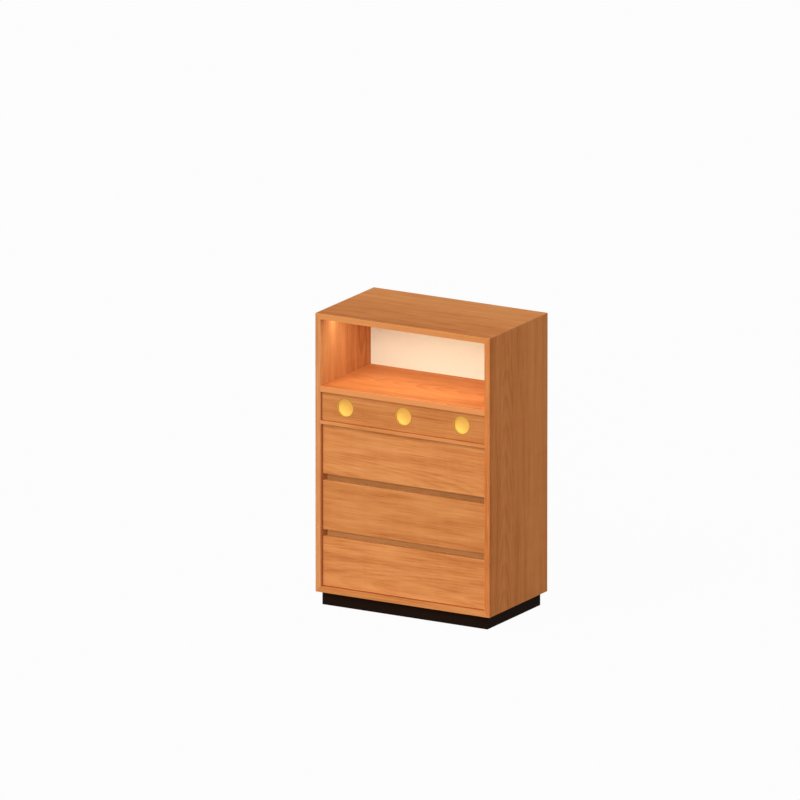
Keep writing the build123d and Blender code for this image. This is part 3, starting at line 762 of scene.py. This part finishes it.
# Screw places: the first screw's y and the height of each drawer's runner, and the heads' seats
RUNNER_ROWS = {1: (-0.125, 0.6152), 2: (-0.1215, 0.449), 3: (-0.1215, 0.2755), 4: (-0.1215, 0.102)}
CABINET_SEAT = 0.2808
DRAWER_SEAT = 0.2705
LAST_CABINET_SCREW = 0.1355
LAST_DRAWER_SCREW = 0.1105
REAR_FACE_Y = 0.172
REAR_UPRIGHT_X = 0.2865
REAR_UPRIGHT_HEIGHTS = (0.1165, 0.33483, 0.61317, 0.8315)
REAR_ACROSS_X = 0.141
REAR_ACROSS_HEIGHTS = (0.0565, 0.8915)

pan_head = {"radius": 0.0035, "height": 0.0017, "shank": 0.00175}
pan_long = pan_screw(length=0.013, **pan_head)
pan_short = pan_screw(length=0.011, **pan_head)
cabinet_places = []
for number, (first, height) in RUNNER_ROWS.items():
    drawer_places = []
    for side in SIDES:
        for y in (first, (first + LAST_CABINET_SCREW) / 2, LAST_CABINET_SCREW):
            cabinet_places.append(((side * CABINET_SEAT, y, height), (-side, 0.0, 0.0)))
        for y in (first, LAST_DRAWER_SCREW):
            drawer_places.append(((side * DRAWER_SEAT, y, height), (side, 0.0, 0.0)))
    set_copies(f"drawer_{number}_runner_screws", f"drawer_{number}", pan_short, drawer_places, plated)
set_copies("cabinet_runner_screws", "carcass", pan_long, cabinet_places, plated)

flat = flat_screw(radius=0.003, shank=0.0015, length=0.018)
rear_spots = [(side * REAR_UPRIGHT_X, z) for side in SIDES for z in REAR_UPRIGHT_HEIGHTS]
rear_spots += [(side * REAR_ACROSS_X, z) for side in SIDES for z in REAR_ACROSS_HEIGHTS]
rear_places = [((x, REAR_FACE_Y, z), (0.0, 1.0, 0.0)) for x, z in rear_spots]
set_copies("rear_panel_screws", "carcass", flat, rear_places, plated)

cup = finger_cup()
cup_spots = (-CUP_PITCH, 0.0, CUP_PITCH)
cup_places = [((x, CUP_FACE_Y, CUP_HEIGHT), (0.0, -1.0, 0.0)) for x in cup_spots]
set_copies("finger_cups", "drawer_1", cup, cup_places, brass())
for model in (pan_long, pan_short, flat, cup):
    bpy.data.objects.remove(model)


# Floor, background, light and camera

PIXEL = 0.002988
PICTURE = 800
AZIMUTH = radians(30.0)
ELEVATION = radians(15.0)
LENS = 1200.0
SENSOR = 36.0
CORNER = Vector((cad_low.x, cad_low.y, cad_high.z))
CORNER_PIXEL = (315.3, 313.0)
FLOOR_SIZE = 60.0
FLOOR_GREY = (0.42, 0.42, 0.42, 1.0)
FLOOR_WHITE = 0.97
WORLD_FILL = 0.38


def straight_ray(finish):
    """1 for what the camera sees, also by mirror or through glass, and 0 for light that spreads."""
    rays = (CAMERA_RAY, GLOSSY_RAY, TRANSMISSION_RAY)
    camera, glossy, through = (finish.node("LightPath", out=ray) for ray in rays)
    seen = camera.math("MAXIMUM", camera, glossy)
    return seen.math("MAXIMUM", seen, through)


def add_floor():
    """A floor that looks nearly white and keeps a little of the object's shadow."""
    bpy.ops.mesh.primitive_plane_add(size=FLOOR_SIZE, location=(0.0, 0.0, 0.0))
    floor = bpy.context.object
    floor.name = "studio_floor"
    finish = Finish("studio_floor")
    lit = finish.node("BsdfDiffuse", None, {"Color": FLOOR_GREY})
    white = finish.node("Emission", None, {"Color": WHITE, "Strength": 1.0})
    seen = straight_ray(finish) * FLOOR_WHITE
    shown = finish.node("MixShader", None, {0: seen, 1: lit, 2: white})
    finish.node("OutputMaterial", None, {0: shown})
    floor.data.materials.append(finish.material)


def light_world():
    """A world that lights plainly from all round and shows white behind the object."""
    world = bpy.data.worlds.new("studio")
    bpy.context.scene.world = world
    sky = Finish("studio", world)
    fill = sky.node("Background", None, {"Color": WHITE, "Strength": WORLD_FILL})
    white = sky.node("Background", None, {"Color": WHITE, "Strength": 1.0})
    shown = sky.node("MixShader", None, {0: straight_ray(sky), 1: fill, 2: white})
    sky.node("OutputWorld", None, {0: shown})


def add_sun(name, towards, strength, spread):
    """A soft lamp whose light comes from one direction."""
    data = bpy.data.lights.new(name, "SUN")
    data.energy = strength
    data.angle = radians(spread)
    lamp = bpy.data.objects.new(name, data)
    lamp.rotation_mode = "QUATERNION"
    lamp.rotation_quaternion = Vector(towards).to_track_quat("Z", "Y")
    bpy.context.scene.collection.objects.link(lamp)


def add_camera():
    """A very long lens, placed so that one corner of the cabinet falls on its pixel of the photo."""
    back = Vector((sin(AZIMUTH) * cos(ELEVATION), -cos(AZIMUTH) * cos(ELEVATION), sin(ELEVATION)))
    right = Vector((cos(AZIMUTH), sin(AZIMUTH), 0.0))
    up = back.cross(right)
    data = bpy.data.cameras.new("camera")
    data.lens = LENS
    data.sensor_width = SENSOR
    camera = bpy.data.objects.new("camera", data)
    distance = PICTURE * PIXEL * LENS / SENSOR
    middle = (cad_low + cad_high) / 2
    aim = CORNER - right * (CORNER_PIXEL[0] - PICTURE / 2) * PIXEL
    aim = aim + up * (CORNER_PIXEL[1] - PICTURE / 2) * PIXEL
    aim = aim + back * (middle - aim).dot(back)
    camera.location = aim + back * distance
    camera.rotation_mode = "QUATERNION"
    camera.rotation_quaternion = back.to_track_quat("Z", "Y")
    data.clip_start = 1.0
    data.clip_end = distance * 3
    bpy.context.scene.collection.objects.link(camera)
    bpy.context.scene.camera = camera


add_floor()
light_world()
add_sun("key", (-0.22, -0.67, 0.71), 1.46, 26.0)
add_sun("front_fill", (0.33, -0.92, 0.34), 1.06, 22.0)
add_camera()
bpy.context.scene.view_settings.view_transform = "Standard"
